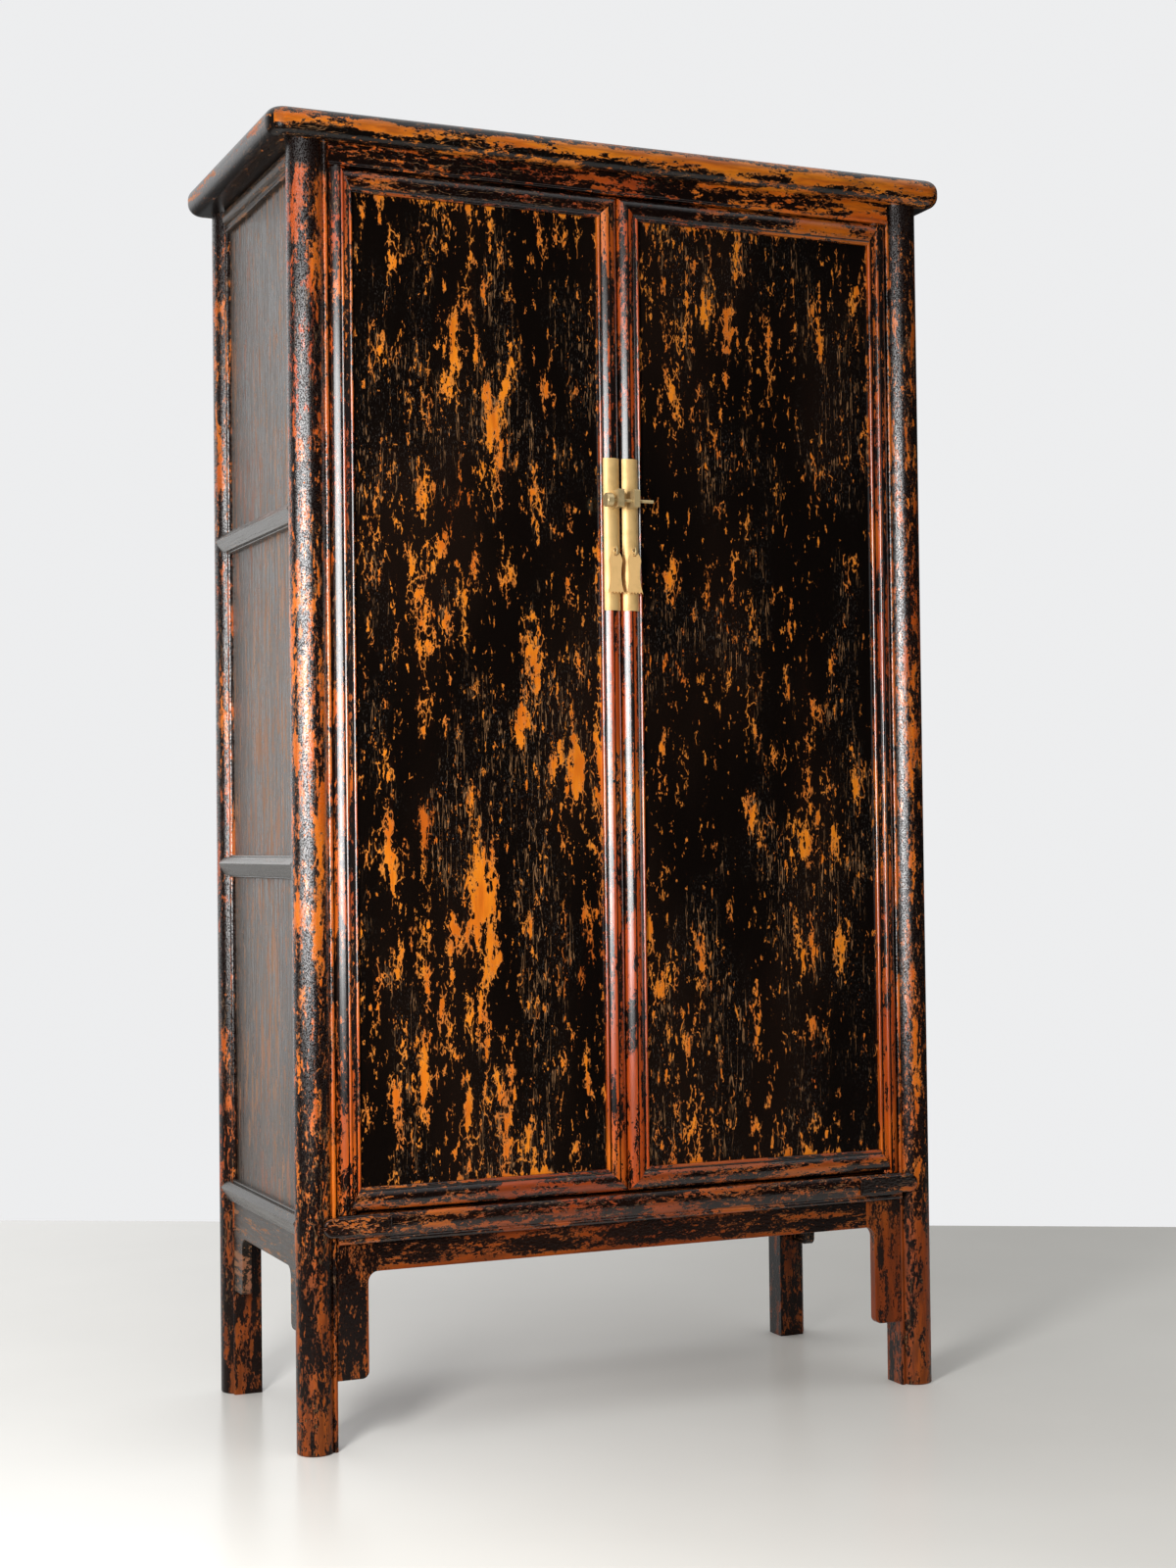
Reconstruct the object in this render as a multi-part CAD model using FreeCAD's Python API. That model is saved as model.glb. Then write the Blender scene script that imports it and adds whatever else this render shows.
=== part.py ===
import FreeCAD, Part
import math
import os

Vector = FreeCAD.Vector

# Sizes in millimetres. Z is up, X runs to the right, the doors face -Y, the floor is z = 0.
overall_height = 1800.0
body_width = 978.0
body_depth = 446.0
joint_depth = 18.0          # length of every tenon
panel_tongue = 6.0          # how far a panel edge enters its groove
bead_roundness = 0.42       # rise of a bead as a part of its width

# Posts: a round column outside, square inside, a bead on each inner edge.
post_size = 54.0
post_radius = 25.0
post_bead = 7.0
post_bead_set = 15.0        # foot of the beads behind the front of the column
post_foot_round = 2.0

# Top: mitred frame round a flush panel, with a rounded edge.
top_thickness = 40.0
top_overhang_end = 33.0
top_overhang_front = 14.0
top_corner_radius = 26.0
top_edge_round = 17.0
top_frame_width = 90.0
top_panel_thickness = 20.0
top_tongue_thickness = 8.0
post_tenon_size = 22.0
post_tenon_height = 16.0

# Friezes under the top.
front_frieze_height = 30.0
side_frieze_height = 35.0
frieze_thickness = 28.0
frieze_set = 7.0
frieze_bead = 5.0
side_frieze_band = 24.0
side_frieze_band_rise = 6.0

# Side rails: a peaked body with round ends that lap over the posts.
side_rail_height = 33.0
side_rail_body = 26.5
side_rail_set = 13.5
side_rail_thickness = 24.0
side_rail_shoulder = 7.0
side_rail_peak = 14.0
side_rail_ridge = 4.0
side_rail_lap = 20.0
side_rail_bead = 2.0
side_tenon_thickness = 16.0
lower_rail_below = 13.2     # middle of the lower side rails below the top of the front rail
ledge_width = 16.0
ledge_height = 14.0
shelf_thickness = 19.0
shelf_front_reach = 10.0

# Panels of the sides and the back.
side_panel_set = 19.5
side_panel_thickness = 10.0
back_panel_thickness = 10.0
back_panel_set = 17.0

# Front and back bottom rails.
bottom_rail_height = 38.0
bottom_rail_top = 314.0
bottom_rail_thickness = 32.0
bottom_rail_set = 6.0
bottom_rail_bead = 7.0
bottom_rail_rise = 4.0
back_rail_height = 34.0

# Rounded blocks on the ends of the front bottom rail, under the door pivots.
block_length = 96.5
block_lap = 23.0
block_height = 26.0
block_proud = 3.0
block_thickness = 12.0
block_edge_round = 3.0
block_drop = 1.0

# Aprons with long spandrels along the legs.
apron_thickness = 14.0
apron_set = 12.0
apron_height = 39.6
spandrel_width = 43.5
spandrel_drop_front = 142.4
spandrel_drop_side = 83.0
apron_corner_radius = 14.0
spandrel_corner_radius = 10.0
apron_edge_round = 1.5

# Doors.
door_thickness = 26.0
door_set = 5.0
door_side_gap = 2.0
door_top_gap = 3.0
door_bottom_gap = 5.5
door_meeting_gap = 2.0
door_meeting_shift = -7.0   # the left door is a little narrower than the right one
frame_width = 31.0
frame_bead = 4.4
frame_bead_base = 8.6       # height of the bead's foot above the door's middle plane
pivot_groove = 1.4
pivot_line_bead = 4.0
pivot_flat_height = 9.5
meeting_round_width = 27.0
meeting_round_radius = 14.6
meeting_round_turn = 54.0
rail_band = 25.0
rail_band_foot = 8.0
door_panel_front = 4.0       # height of the panel's face above the door's middle plane
door_panel_thickness = 9.0
pivot_radius = 8.0
pivot_length = 20.0
pivot_clearance = 0.1
pivot_end_gap = 2.0
rod_end_gap = 1.5

# Brass fittings.
plate_thickness = 1.2
plate_height = 216.0
plate_turn = 52.0
plate_place = 0.658         # middle of the plates, as a part of the door's height
eye_width = 8.8
eye_height = 25.0
eye_reach = 25.0
eye_round = 1.5
eye_shift = 2.4             # towards the meeting edge
eye_rise = 48.5             # above the middle of the plates
eye_tang_radius = 2.5
eye_tang_length = 22.0
pin_radius = 2.3
pin_clearance = 0.4
pin_drop = 3.0              # pin axis below the middle of the eyes
pin_forward = 8.0           # pin axis behind the front of the eyes
pin_reach = 28.0            # tip beyond the middle of the right eye
pin_head_radius = 10.0
pin_head_length = 11.0
pin_head_round = 2.0
pin_head_gap = 6.5
ring_radius = 5.5
ring_wire = 1.2
ring_edge_round = 0.9
ring_drop = 24.5            # ring centre below the middle of the plates
ring_stand = 0.3
ring_shank = 15.0
drop_thickness = 2.4
drop_length = 60.0
drop_top_half = 4.4
drop_shoulder_half = 10.0
drop_neck_bulge = 1.0
drop_shoulder_down = 14.0
drop_waist_half = 8.0
drop_waist_down = 36.0
drop_tail_half = 12.2
drop_bridge = 2.4
drop_hole_top = 3.6         # below the ring's centre
drop_hole_width = 5.0
drop_hole_gap = 0.7
drop_scallops = 5
drop_scallop_radius = 2.1

# Places that follow from the sizes.
half_width = body_width / 2
post_bead_rise = bead_roundness * post_bead
frieze_bead_rise = bead_roundness * frieze_bead
frame_bead_rise = bead_roundness * frame_bead
half_depth = body_depth / 2
inner_x = half_width - post_size
inner_y = half_depth - post_size
carcass_top = overall_height - top_thickness
front_frieze_bottom = carcass_top - front_frieze_height
side_frieze_bottom = carcass_top - side_frieze_height
lower_rail_height = bottom_rail_top - lower_rail_below
lower_rail_top = lower_rail_height + side_rail_height / 2
side_panel_gap = (side_frieze_bottom - lower_rail_top - 2 * side_rail_height) / 3
middle_rail_height = lower_rail_height + side_rail_height + side_panel_gap
upper_rail_height = middle_rail_height + side_rail_height + side_panel_gap
side_face = half_width - side_rail_set
side_rail_inside = side_face - side_rail_thickness
side_panel_face = half_width - side_panel_set
bottom_rail_low = bottom_rail_top - bottom_rail_height
apron_low = bottom_rail_low - apron_height
back_panel_back = half_depth - back_panel_set

door_radius = door_thickness / 2
door_front = half_depth - door_set
pivot_y = -(door_front - door_radius)
pivot_x = inner_x - door_side_gap - door_radius
door_outer = inner_x - door_side_gap
door_low = bottom_rail_top + door_bottom_gap
door_high = front_frieze_bottom - door_top_gap
door_height = door_high - door_low
left_door_width = door_outer + door_meeting_shift - door_meeting_gap / 2
right_door_width = door_outer - door_meeting_shift - door_meeting_gap / 2
plate_middle = door_low + plate_place * door_height
eye_front = door_front + plate_thickness + eye_reach
pin_y = -(eye_front - pin_forward)
front_reach = max(pin_head_radius - pin_y, eye_front, half_depth + top_overhang_front)
centre_shift = (front_reach - half_depth - top_overhang_front) / 2


def plan(p, q):
    return Vector(p, q, 0)


def front_view(p, q):
    return Vector(p, 0, q)


def side_view(p, q):
    return Vector(0, p, q)


def solid(start, steps, view, push):
    # A step is one point for a straight edge, or a point on the way and an end point for an arc.
    edges = []
    here = view(*start)
    for step in steps:
        if isinstance(step[0], tuple):
            middle = view(*step[0])
            end = view(*step[1])
            edges.append(Part.Arc(here, middle, end).toShape())
        else:
            end = view(*step)
            edges.append(Part.LineSegment(here, end).toShape())
        here = end
    if (here - view(*start)).Length > 1e-7:
        edges.append(Part.LineSegment(here, view(*start)).toShape())
    return Part.Face(Part.Wire(edges)).extrude(push)


def box(x0, x1, y0, y1, z0, z1):
    return Part.makeBox(x1 - x0, y1 - y0, z1 - z0, Vector(x0, y0, z0))


def flip_x(shape):
    return shape.mirror(Vector(0, 0, 0), Vector(1, 0, 0))


def flip_y(shape):
    return shape.mirror(Vector(0, 0, 0), Vector(0, 1, 0))


def shift(shape, x, y, z):
    moved = shape.copy()
    moved.translate(Vector(x, y, z))
    return moved


def join(shapes):
    whole = shapes[0]
    if len(shapes) > 1:
        whole = whole.multiFuse(shapes[1:])
    return whole.removeSplitter()


def on_circle(centre, radius, degrees):
    turn = math.radians(degrees)
    return (centre[0] + radius * math.cos(turn), centre[1] + radius * math.sin(turn))


def post():
    # One post is drawn, front left; the others are its mirrors.
    middle = post_size - post_radius
    foot = post_size - post_bead_set
    crest = foot + post_bead_rise

    def corner(p, q):
        return Vector(-(inner_x + p), -(inner_y + q), 0)

    steps = [
        (0, foot),
        ((post_bead / 2, crest), (post_bead, foot)),
        (foot, post_bead),
        ((crest, post_bead / 2), (foot, 0)),
    ]
    inner = solid((0, 0), steps, corner, Vector(0, 0, carcass_top))
    column = Part.makeCylinder(post_radius, carcass_top, corner(middle, middle))
    rim = [e for e in column.Edges if e.BoundBox.ZMax < 1e-6]
    column = column.makeFillet(post_foot_round, rim)
    tenon_side = (post_size - post_tenon_size) / 2
    tenon = box(-inner_x - tenon_side - post_tenon_size, -inner_x - tenon_side,
                -inner_y - tenon_side - post_tenon_size, -inner_y - tenon_side,
                carcass_top, carcass_top + post_tenon_height)
    return join([inner, column, tenon])


def top_slab():
    half_x = half_width + top_overhang_end
    half_y = half_depth + top_overhang_front
    slab = box(-half_x, half_x, -half_y, half_y, carcass_top, overall_height)
    uprights = [e for e in slab.Edges if abs(e.tangentAt(e.FirstParameter).z) > 0.5]
    slab = slab.makeFillet(top_corner_radius, uprights)
    rims = [e for e in slab.Edges if e.BoundBox.ZLength < 1e-6]
    return slab.makeFillet(top_edge_round, rims)


def top_parts(posts):
    half_x = half_width + top_overhang_end
    half_y = half_depth + top_overhang_front
    in_x = half_x - top_frame_width
    in_y = half_y - top_frame_width
    panel_low = overall_height - top_panel_thickness
    tongue_low = panel_low + (top_panel_thickness - top_tongue_thickness) / 2
    panel = join([
        box(-in_x, in_x, -in_y, in_y, panel_low, overall_height),
        box(-in_x - panel_tongue, in_x + panel_tongue, -in_y - panel_tongue, in_y + panel_tongue,
            tongue_low, tongue_low + top_tongue_thickness),
    ])
    rise = Vector(0, 0, overall_height)
    front_piece = solid((-half_x, -half_y), [(half_x, -half_y), (in_x, -in_y), (-in_x, -in_y)], plan, rise)
    left_piece = solid((-half_x, -half_y), [(-in_x, -in_y), (-in_x, in_y), (-half_x, half_y)], plan, rise)
    slab = top_slab()
    cutters = [panel] + posts
    return {
        "top_frame_front": slab.common(front_piece).cut(cutters),
        "top_frame_back": slab.common(flip_y(front_piece)).cut(cutters),
        "top_frame_left": slab.common(left_piece).cut(cutters),
        "top_frame_right": slab.common(flip_x(left_piece)).cut(cutters),
        "top_panel": panel,
    }


def front_frieze():
    face = -(half_depth - frieze_set)
    back = face + frieze_thickness
    low = front_frieze_bottom
    crest = face - frieze_bead_rise
    steps = [
        ((crest, low + frieze_bead / 2), (face, low + frieze_bead)),
        (face, carcass_top),
        (back, carcass_top),
        (back, low),
    ]
    body = solid((face, low), steps, side_view, Vector(2 * inner_x, 0, 0))
    body.translate(Vector(-inner_x, 0, 0))
    quarter = frieze_thickness / 4
    tenon = box(-inner_x - joint_depth, inner_x + joint_depth, face + quarter, back - quarter,
                low + quarter, carcass_top - quarter)
    return join([body, tenon])


def back_rail(low, high, back, thickness):
    body = box(-inner_x, inner_x, back - thickness, back, low, high)
    quarter = thickness / 4
    tenon = box(-inner_x - joint_depth, inner_x + joint_depth, back - thickness + quarter, back - quarter,
                low + quarter, high - quarter)
    return join([body, tenon])


def side_frieze():
    # Drawn on the left side.
    low = side_frieze_bottom
    band_low = carcass_top - side_frieze_band
    face = -side_face
    inside = -side_rail_inside
    band_middle = (band_low + carcass_top) / 2
    steps = [
        ((face - frieze_bead_rise, low + frieze_bead / 2), (face, low + frieze_bead)),
        (face, band_low),
        ((face - side_frieze_band_rise, band_middle), (face, carcass_top)),
        (inside, carcass_top),
        (inside, low),
    ]
    body = solid((face, low), steps, front_view, Vector(0, 2 * inner_y, 0))
    body.translate(Vector(0, -inner_y, 0))
    quarter = side_frieze_height / 4
    reach = inner_y + joint_depth
    tenon = box(face, face + side_tenon_thickness, -reach, reach, low + quarter, carcass_top - quarter)
    return join([body, tenon])


def side_rail(height):
    # Drawn on the left side, its peaked body lapping over both posts.
    face = -side_face
    low = height - side_rail_height / 2
    high = height + side_rail_height / 2
    half_body = side_rail_body / 2
    core = box(face, -side_rail_inside, -inner_y, inner_y, low, high)
    ledge = box(-side_rail_inside, -side_rail_inside + ledge_width, -inner_y, inner_y, low, low + ledge_height)
    reach = inner_y + joint_depth
    tenon = box(face, face + side_tenon_thickness, -reach, reach, height - half_body / 2, height + half_body / 2)
    lap = inner_y + side_rail_lap
    peak_steps = [
        (face - side_rail_shoulder, height - half_body),
        (face - side_rail_peak, height + side_rail_ridge),
        (face - side_rail_shoulder, height + half_body),
        (face, height + half_body),
    ]
    peak = solid((face, height - half_body), peak_steps, front_view, Vector(0, 2 * lap, 0))
    peak.translate(Vector(0, -lap, 0))
    straight = lap - half_body
    end_steps = [
        ((lap, height), (straight, height + half_body)),
        (-straight, height + half_body),
        ((-lap, height), (-straight, height - half_body)),
    ]
    ends = solid((straight, height - half_body), end_steps, side_view, Vector(-2 * side_rail_peak, 0, 0))
    ends.translate(Vector(face + side_rail_peak / 2, 0, 0))
    body = peak.common(ends)
    bead_place = side_rail_height / 2 - side_rail_bead
    along = Vector(0, 1, 0)
    upper_bead = Part.makeCylinder(side_rail_bead, 2 * inner_y, Vector(face, -inner_y, height + bead_place), along)
    lower_bead = Part.makeCylinder(side_rail_bead, 2 * inner_y, Vector(face, -inner_y, height - bead_place), along)
    return join([core, ledge, tenon, body, upper_bead, lower_bead])


def side_panel(low, high):
    reach = inner_y + panel_tongue
    outside = -side_panel_face
    return box(outside, outside + side_panel_thickness, -reach, reach, low - panel_tongue, high + panel_tongue)


def bottom_rail():
    face = -(half_depth - bottom_rail_set)
    back = face + bottom_rail_thickness
    low = bottom_rail_low
    band_low = low + bottom_rail_bead
    band_middle = (band_low + bottom_rail_top) / 2
    steps = [
        ((face - bottom_rail_rise / 2, low + bottom_rail_bead / 2), (face, band_low)),
        ((face - bottom_rail_rise, band_middle), (face, bottom_rail_top)),
        (back, bottom_rail_top),
        (back, low),
    ]
    body = solid((face, low), steps, side_view, Vector(2 * inner_x, 0, 0))
    body.translate(Vector(-inner_x, 0, 0))
    quarter = bottom_rail_thickness / 4
    reach = inner_x + joint_depth
    tenon = box(-reach, reach, face + quarter, back - quarter, low + quarter, bottom_rail_top - quarter)
    return join([body, tenon])


def pivot_block():
    # Drawn on the left side: a bar with a half-round outer end and softened edges.
    high = bottom_rail_top - block_drop
    low = high - block_height
    half = block_height / 2
    nose = -(inner_x + block_lap)
    inner_end = nose + block_length
    face = -(half_depth + block_proud)
    steps = [
        (inner_end, high),
        (nose + half, high),
        ((nose, low + half), (nose + half, low)),
    ]
    bar = solid((inner_end, low), steps, front_view, Vector(0, block_thickness, 0))
    bar.translate(Vector(0, face, 0))
    rim = [e for e in bar.Edges if e.BoundBox.YMax < face + 1e-6]
    return bar.makeFillet(block_edge_round, rim)


def pivot_hole(x, low, high):
    return Part.makeCylinder(pivot_radius + pivot_clearance, high - low, Vector(x, pivot_y, low))


def soften(board, face, axis):
    # Rounds the front arris of an apron's open edges; face is the front plane, axis its normal.
    arris = []
    for edge in board.Edges:
        low = edge.BoundBox.ZMin
        on_face = all(abs(v.Point.dot(axis) - face) < 1e-6 for v in edge.Vertexes)
        middle = edge.valueAt((edge.FirstParameter + edge.LastParameter) / 2)
        beside_post = abs(abs(middle.x) - inner_x) < 1e-6 or abs(abs(middle.y) - inner_y) < 1e-6
        joint = edge.BoundBox.ZLength > 1e-6 and edge.BoundBox.ZMax > apron_low + 1e-6
        if on_face and not beside_post and not joint and low < apron_low + 1e-6:
            arris.append(edge)
    return board.makeFillet(apron_edge_round, arris)


def front_apron():
    front = -(half_depth - apron_set)
    end = inner_x - spandrel_width - apron_corner_radius
    board = box(-end, end, front, front + apron_thickness, apron_low, bottom_rail_low)
    return soften(board, front, Vector(0, 1, 0))


def front_spandrel():
    # Drawn on the left side.
    low = apron_low - spandrel_drop_front
    edge = -(inner_x - spandrel_width)
    end = edge + apron_corner_radius
    bend = apron_corner_radius * (1 - math.sqrt(0.5))
    tip = spandrel_corner_radius * (1 - math.sqrt(0.5))
    steps = [
        (end, bottom_rail_low),
        (end, apron_low),
        ((edge + bend, apron_low - bend), (edge, apron_low - apron_corner_radius)),
        (edge, low + spandrel_corner_radius),
        ((edge - tip, low + tip), (edge - spandrel_corner_radius, low)),
        (-inner_x, low),
    ]
    front = -(half_depth - apron_set)
    board = solid((-inner_x, bottom_rail_low), steps, front_view, Vector(0, apron_thickness, 0))
    board.translate(Vector(0, front, 0))
    return soften(board, front, Vector(0, 1, 0))


def side_apron():
    # Drawn on the left side: a straight board and two spandrels in one piece.
    top = lower_rail_height - side_rail_height / 2
    low = apron_low - spandrel_drop_side
    edge = inner_y - spandrel_width
    bend = apron_corner_radius * (1 - math.sqrt(0.5))
    tip = spandrel_corner_radius * (1 - math.sqrt(0.5))
    steps = [
        (inner_y, top),
        (inner_y, low),
        (edge + spandrel_corner_radius, low),
        ((edge + tip, low + tip), (edge, low + spandrel_corner_radius)),
        (edge, apron_low - apron_corner_radius),
        ((edge - bend, apron_low - bend), (edge - apron_corner_radius, apron_low)),
        (-edge + apron_corner_radius, apron_low),
        ((-edge + bend, apron_low - bend), (-edge, apron_low - apron_corner_radius)),
        (-edge, low + spandrel_corner_radius),
        ((-edge - tip, low + tip), (-edge - spandrel_corner_radius, low)),
        (-inner_y, low),
    ]
    board = solid((-inner_y, top), steps, side_view, Vector(apron_thickness, 0, 0))
    board.translate(Vector(-side_face, 0, 0))
    return soften(board, -side_face, Vector(1, 0, 0))


def shelf(top):
    low = top - shelf_thickness
    wide = box(-side_rail_inside, side_rail_inside, -inner_y, inner_y, low, top)
    deep = box(-inner_x, inner_x, -inner_y - shelf_front_reach, inner_y + shelf_front_reach, low, top)
    return join([wide, deep])


# A door is drawn with its pivot edge at x = 0, its width along +X, y = 0 on its middle plane and z = 0 at its foot.
def bead_steps(start, base, rise, width):
    return [
        (start, -base),
        ((start + width / 2, -base - rise), (start + width, -base)),
    ]


def mitred(bar, start, outline):
    keep = solid(start, outline, front_view, Vector(0, 2 * door_thickness, 0))
    return bar.common(shift(keep, 0, -door_thickness, 0))


def pivot_stile(height):
    r = door_radius
    line_start = r + pivot_groove
    flat_start = line_start + pivot_line_bead
    bead_start = frame_width - frame_bead
    line_rise = frame_bead_rise / 2
    line_base = r - line_rise
    steps = [((0, 0), (r, -r))]
    steps += [(r + pivot_groove / 2, -line_base + pivot_groove / 2)]
    steps += bead_steps(line_start, line_base, line_rise, pivot_line_bead)
    steps += [(flat_start, -pivot_flat_height), (bead_start, -pivot_flat_height)]
    steps += bead_steps(bead_start, frame_bead_base, frame_bead_rise, frame_bead)
    steps += [(frame_width, r)]
    bar = solid((r, r), steps, plan, Vector(0, 0, height))
    outline = [(line_start, 0), (frame_width, frame_width), (frame_width, height - frame_width),
               (line_start, height), (-r, height)]
    bar = mitred(bar, (-r, 0), outline)
    foot_end = -door_bottom_gap + rod_end_gap
    head_end = height + door_top_gap - rod_end_gap
    rod = Part.makeCylinder(r, -foot_end, Vector(r, 0, foot_end))
    head_rod = Part.makeCylinder(r, head_end - height, Vector(r, 0, height))
    lower_pivot = Part.makeCylinder(pivot_radius, pivot_length, Vector(r, 0, foot_end - pivot_length))
    upper_pivot = Part.makeCylinder(pivot_radius, pivot_length, Vector(r, 0, head_end))
    return join([bar, rod, head_rod, lower_pivot, upper_pivot])


def meeting_centre(width):
    return (width - meeting_round_width / 2, meeting_round_radius - door_radius)


def meeting_stile(width, height):
    r = door_radius
    centre = meeting_centre(width)
    half_turn = math.degrees(math.asin(meeting_round_width / 2 / meeting_round_radius))
    outer_point = on_circle(centre, meeting_round_radius, -90 + half_turn)
    inner_point = on_circle(centre, meeting_round_radius, -90 - meeting_round_turn)
    crown = on_circle(centre, meeting_round_radius, -90)
    edge = width - frame_width
    base = frame_bead_base
    rise = frame_bead_rise
    steps = [
        outer_point,
        (crown, inner_point),
        (edge + frame_bead, -base),
        ((edge + frame_bead / 2, -base - rise), (edge, -base)),
        (edge, r),
    ]
    bar = solid((width, r), steps, plan, Vector(0, 0, height))
    outline = [(width, height), (edge, height - frame_width), (edge, frame_width)]
    return mitred(bar, (width, 0), outline)


def door_rail(width):
    # The bottom rail; the top rail is its mirror at half height.
    r = door_radius
    bead_start = frame_width - frame_bead
    band_end = (-rail_band_foot, rail_band)
    steps = [
        (-rail_band_foot, 0),
        ((-r, rail_band / 2), band_end),
        (-frame_bead_base, bead_start),
        ((-frame_bead_base - frame_bead_rise, bead_start + frame_bead / 2), (-frame_bead_base, frame_width)),
        (r, frame_width),
    ]
    bar = solid((r, 0), steps, side_view, Vector(width, 0, 0))
    groove_edge = r + pivot_groove
    outline = [(width, 0), (width - frame_width, frame_width), (frame_width, frame_width)]
    return mitred(bar, (groove_edge, 0), outline)


def door_panel(width, height):
    inset = frame_width - panel_tongue
    return box(inset, width - inset, -door_panel_front, -door_panel_front + door_panel_thickness,
               inset, height - inset)


def lock_plate(width):
    centre = meeting_centre(width)
    inner = meeting_round_radius
    outer = meeting_round_radius + plate_thickness
    start = on_circle(centre, inner, -90 - plate_turn)
    steps = [
        on_circle(centre, outer, -90 - plate_turn),
        (on_circle(centre, outer, -90), on_circle(centre, outer, -90 + plate_turn)),
        on_circle(centre, inner, -90 + plate_turn),
        (on_circle(centre, inner, -90), start),
    ]
    plate = solid(start, steps, plan, Vector(0, 0, plate_height))
    return shift(plate, 0, 0, plate_middle - door_low - plate_height / 2)


def eye_height_in_door():
    return plate_middle - door_low + eye_rise


def lock_eye(width):
    crown = -door_radius - plate_thickness
    x = meeting_centre(width)[0] + eye_shift
    z = eye_height_in_door()
    tab = box(x - eye_width / 2, x + eye_width / 2, crown - eye_reach, crown + plate_thickness,
              z - eye_height / 2, z + eye_height / 2)
    corners = [e for e in tab.Edges
               if e.BoundBox.YMax < crown - eye_reach + 1e-6 and e.BoundBox.XLength > eye_width / 2]
    tab = tab.makeFillet(eye_round, corners)
    hole = Part.makeCylinder(pin_radius + pin_clearance, 2 * eye_width,
                             Vector(x - eye_width, crown - eye_reach + pin_forward, z - pin_drop), Vector(1, 0, 0))
    tang = Part.makeCylinder(eye_tang_radius, eye_tang_length, Vector(x, crown, z), Vector(0, 1, 0))
    cheek = Part.makeCylinder(meeting_round_radius + plate_thickness, 2 * eye_height,
                              Vector(meeting_centre(width)[0], meeting_centre(width)[1], z - eye_height))
    return join([tab.cut([hole, cheek]), tang])


def ring_place(width):
    x = meeting_centre(width)[0]
    y = -door_radius - plate_thickness - ring_stand - ring_radius - ring_wire
    z = plate_middle - door_low - ring_drop
    return Vector(x, y, z)


def ring_eye(width):
    place = ring_place(width)
    across = Vector(1, 0, 0)
    start = place - across * ring_wire
    ring = Part.makeCylinder(ring_radius + ring_wire, 2 * ring_wire, start, across)
    ring = ring.cut(Part.makeCylinder(ring_radius - ring_wire, 2 * ring_wire, start, across))
    rims = [e for e in ring.Edges if e.BoundBox.XLength < 1e-6]
    ring = ring.makeFillet(ring_edge_round, rims)
    shank = Part.makeCylinder(ring_wire, ring_shank, place + Vector(0, ring_radius, 0), Vector(0, 1, 0))
    return join([ring, shank])


def drop_pull(width):
    place = ring_place(width)
    top = -drop_hole_top + drop_bridge
    shoulder = -drop_shoulder_down
    neck = (drop_top_half + drop_shoulder_half) / 2 + drop_neck_bulge
    neck_down = (top + shoulder) / 2
    tail = -drop_length
    waist = -drop_waist_down
    steps = [
        (drop_top_half, top),
        ((neck, neck_down), (drop_shoulder_half, shoulder)),
        ((drop_waist_half, waist), (drop_tail_half, tail)),
        (-drop_tail_half, tail),
        ((-drop_waist_half, waist), (-drop_shoulder_half, shoulder)),
        ((-neck, neck_down), (-drop_top_half, top)),
    ]
    blade = solid((-drop_top_half, top), steps, front_view, Vector(0, drop_thickness, 0))
    blade.translate(Vector(0, -drop_thickness / 2, 0))
    hole_low = -ring_radius - ring_wire - drop_hole_gap
    half = drop_hole_width / 2
    hole = box(-half, half, -drop_thickness, drop_thickness, hole_low, -drop_hole_top)
    step = 2 * drop_tail_half / drop_scallops
    notches = []
    for i in range(drop_scallops):
        x = -drop_tail_half + step * (i + 0.5)
        notches.append(Part.makeCylinder(drop_scallop_radius, 2 * drop_thickness,
                                         Vector(x, -drop_thickness, tail), Vector(0, 1, 0)))
    blade = blade.cut([hole] + notches)
    blade.translate(place)
    return blade


def door(width, height):
    panel = door_panel(width, height)
    plate = lock_plate(width)
    eye = lock_eye(width)
    ring = ring_eye(width)
    bottom = door_rail(width)
    top = shift(bottom.mirror(Vector(0, 0, 0), Vector(0, 0, 1)), 0, 0, height)
    return {
        "pivot_stile": pivot_stile(height).cut(panel),
        "meeting_stile": meeting_stile(width, height).cut([panel, eye, ring]),
        "top_rail": top.cut(panel),
        "bottom_rail": bottom.cut(panel),
        "panel": panel.cut([eye, ring]),
        "lock_plate": plate.cut([eye, ring]),
        "lock_eye": eye,
        "ring_eye": ring,
        "drop_pull": drop_pull(width),
    }


def place_left(shape):
    return shift(shape, -door_outer, pivot_y, door_low)


def place_right(shape):
    return shift(flip_x(shape), door_outer, pivot_y, door_low)


def lock_pin():
    left_eye_x = -door_outer + meeting_centre(left_door_width)[0] + eye_shift
    right_eye_x = door_outer - meeting_centre(right_door_width)[0] - eye_shift
    z = door_low + eye_height_in_door() - pin_drop
    head_inner = left_eye_x - eye_width / 2 - pin_head_gap
    tip = right_eye_x + pin_reach
    along = Vector(1, 0, 0)
    head = Part.makeCylinder(pin_head_radius, pin_head_length, Vector(head_inner - pin_head_length, pin_y, z), along)
    rims = [e for e in head.Edges if e.BoundBox.XLength < 1e-6]
    head = head.makeFillet(pin_head_round, rims)
    shaft = Part.makeCylinder(pin_radius, tip - head_inner, Vector(head_inner, pin_y, z), along)
    return join([head, shaft])


parts = {}

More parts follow.
